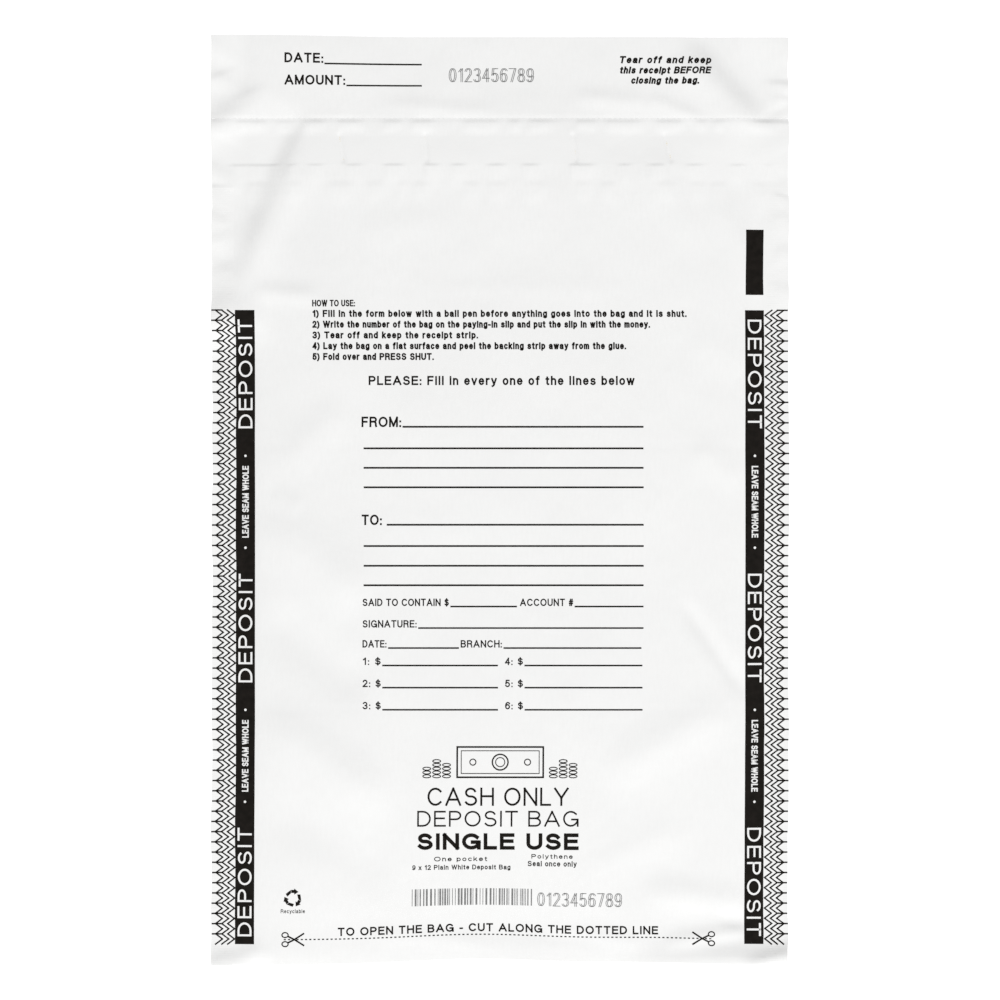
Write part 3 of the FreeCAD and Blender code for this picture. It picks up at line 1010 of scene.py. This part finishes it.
def arrows_round(art, x, y, radius):
    """Three bent arrows that follow one another round a triangle."""
    for k in range(3):
        turn = math.radians(120 * k + 90)

        def at(out, across):
            c, s = math.cos(turn), math.sin(turn)
            return x + out * radius * c - across * radius * s, y + out * radius * s + across * radius * c

        art.polygon(at(1.02, 0.24), at(0.62, 0.24), at(0.22, 0.66), at(0.54, 0.86))
        art.polygon(at(1.02, 0.20), at(1.02, -0.24), at(0.66, -0.20), at(0.66, 0.20))
        art.polygon(at(1.18, -0.16), at(0.78, -0.66), at(0.46, -0.16))


def cut_line_print():
    """The dotted line along which the bag is cut open, between two pairs of scissors."""
    art = Artwork()
    y = -174.1
    art.words("TO OPEN THE BAG - CUT ALONG THE DOTTED LINE", (-64.0, y + 1.2), 126.8, 3.3, weight=0.185)
    for x in np.arange(-85.0, 84.3, 1.684):
        art.bar(x - 0.42, y - 0.22, x + 0.42, y + 0.22)
    scissors(art, -82.2, y, 1)
    scissors(art, 81.2, y, -1)
    arrows_round(art, -81.8, -157.7, 3.3)
    art.words("Recyclable", (-86.6, -163.6), 9.6, 1.55, weight=0.13)
    lay_on("cut_line_print", art)


PRINT_TOP, PRINT_FOOT = 75.1, -175.9


def chevron_print(side, name):
    """Nested chevrons over a weld, which show at once if it has been cut and sealed again."""
    art = Artwork()
    rows, line = 62, 0.56
    row = (PRINT_TOP - PRINT_FOOT) / rows
    for k in range(rows):
        y = PRINT_TOP - row * k
        art.stroke(line, [(side * (HALF - 0.5), y), (side * (HALF - 4.4), y)])
        for start, tip in ((1.8, 4.5), (4.25, 7.0), (6.6, 9.3)):
            art.stroke(line, [(side * (HALF - start), y), (side * (HALF - tip), y - row / 2),
                              (side * (HALF - start), y - row)])
    lay_on(name, art)


def bar_print(name, left, turn):
    """A black bar beside a weld, with a word and a reminder in turn in white on it."""
    width = 7.6
    centre = left + width / 2
    way = turn / 90  # 1 where the words read upward, -1 where they read downward
    art = Artwork()
    art.bar(left, PRINT_FOOT, left + width, PRINT_TOP)
    lay_on(name, art)
    letters = Artwork()
    capital, length = 5.6, 43.0
    small, short = 2.6, 28.4
    for k in range(3):
        middle = 49.9 - 100.6 * k
        start = (centre + way * capital / 2, middle - way * length / 2)
        letters.words("DEPOSIT", start, length, capital, weight=0.14, turn=turn, gap=0.24)
        if k == 2:
            continue
        middle -= 50.6
        start = (centre + way * small / 2, middle - way * short / 2)
        letters.words("LEAVE SEAM WHOLE", start, short, small, weight=0.2, turn=turn)
        for end in (-18.2, 18.2):
            letters.disc(centre, middle + end, 0.5)
    lay_on(name + "_letters", letters, ink="print_white", lift=2.7 * LIFT)


def mark_print():
    """The plain black mark that the bag machine reads."""
    art = Artwork()
    art.bar(97.2, 81.2, 104.2, 107.0)
    lay_on("machine_mark", art)


# ---- the making -----------------------------------------------------------------------------

VIEW_HEIGHT = 1.6  # how far above the bag the camera is, in metres
VIEW_WIDTH = 0.3962  # how much of the table the picture shows, in metres


def overhead_camera():
    """A camera that looks straight down, as the photograph's does."""
    camera = bpy.data.objects.new("camera", bpy.data.cameras.new("camera"))
    bpy.context.scene.collection.objects.link(camera)
    camera.location = (0, 0, VIEW_HEIGHT)
    camera.data.sensor_width = 36
    camera.data.lens = 36 * VIEW_HEIGHT / VIEW_WIDTH
    camera.data.clip_start = 0.01
    bpy.context.scene.camera = camera


overhead_camera()
front_film()
back_film()
side_weld(-1, "left_side_seal", "left_weld")
side_weld(1, "right_side_seal", "right_weld")
folded_foot()
receipt_film()
glue_strip()
liner_strip()

receipt_print()
instruction_print()
form_print()
emblem_print()
number_print()
cut_line_print()
chevron_print(-1, "left_chevrons")
chevron_print(1, "right_chevrons")
bar_print("left_bar", left=-104.8, turn=90)
bar_print("right_bar", left=96.9, turn=-90)
mark_print()


def table_top():
    """The white surface that the bag lies on."""
    mesh = bpy.data.meshes.new("table_top")
    wide = 4.0
    corners = [(-wide, -wide, 0), (wide, -wide, 0), (wide, wide, 0), (-wide, wide, 0)]
    mesh.from_pydata(corners, [], [(0, 1, 2, 3)])
    mesh.materials.append(floor_finish())
    top = bpy.data.objects.new("table_top", mesh)
    bpy.context.scene.collection.objects.link(top)
    top.location.z = -0.2 * MM  # clear of the back film


def studio_light():
    """Soft light from above, and a broad lamp beyond the foot, a little right, that brings out the folds."""
    world = bpy.data.worlds.new("studio")
    bpy.context.scene.world = world
    world.use_nodes = True
    tree = world.node_tree
    tree.nodes["Background"].inputs[0].default_value = (1, 1, 1, 1)
    height = tree.nodes.new("ShaderNodeSeparateXYZ")
    tree.links.new(tree.nodes.new("ShaderNodeTexCoord").outputs["Generated"], height.inputs[0])
    # dim near the horizon and bright overhead, so that a fold's steep sides are a little darker
    glow = tree.nodes.new("ShaderNodeMapRange")
    glow.interpolation_type = "SMOOTHSTEP"
    for name, value in (("From Min", 0.05), ("From Max", 0.55), ("To Min", 0.10), ("To Max", 0.905)):
        glow.inputs[name].default_value = value
    tree.links.new(height.outputs["Z"], glow.inputs["Value"])
    tree.links.new(glow.outputs["Result"], tree.nodes["Background"].inputs[1])
    lamp = bpy.data.lights.new("key", "AREA")
    lamp.energy = 352
    lamp.size = 2.1
    key = bpy.data.objects.new("key", lamp)
    bpy.context.scene.collection.objects.link(key)
    key.location = (1.2, -5.2, 4.3)
    key.rotation_euler = key.location.to_track_quat("Z", "Y").to_euler()
    view = bpy.context.scene.view_settings
    view.view_transform = "Standard"
    view.look = "None"
    view.exposure = 0
    view.gamma = 1


table_top()
studio_light()
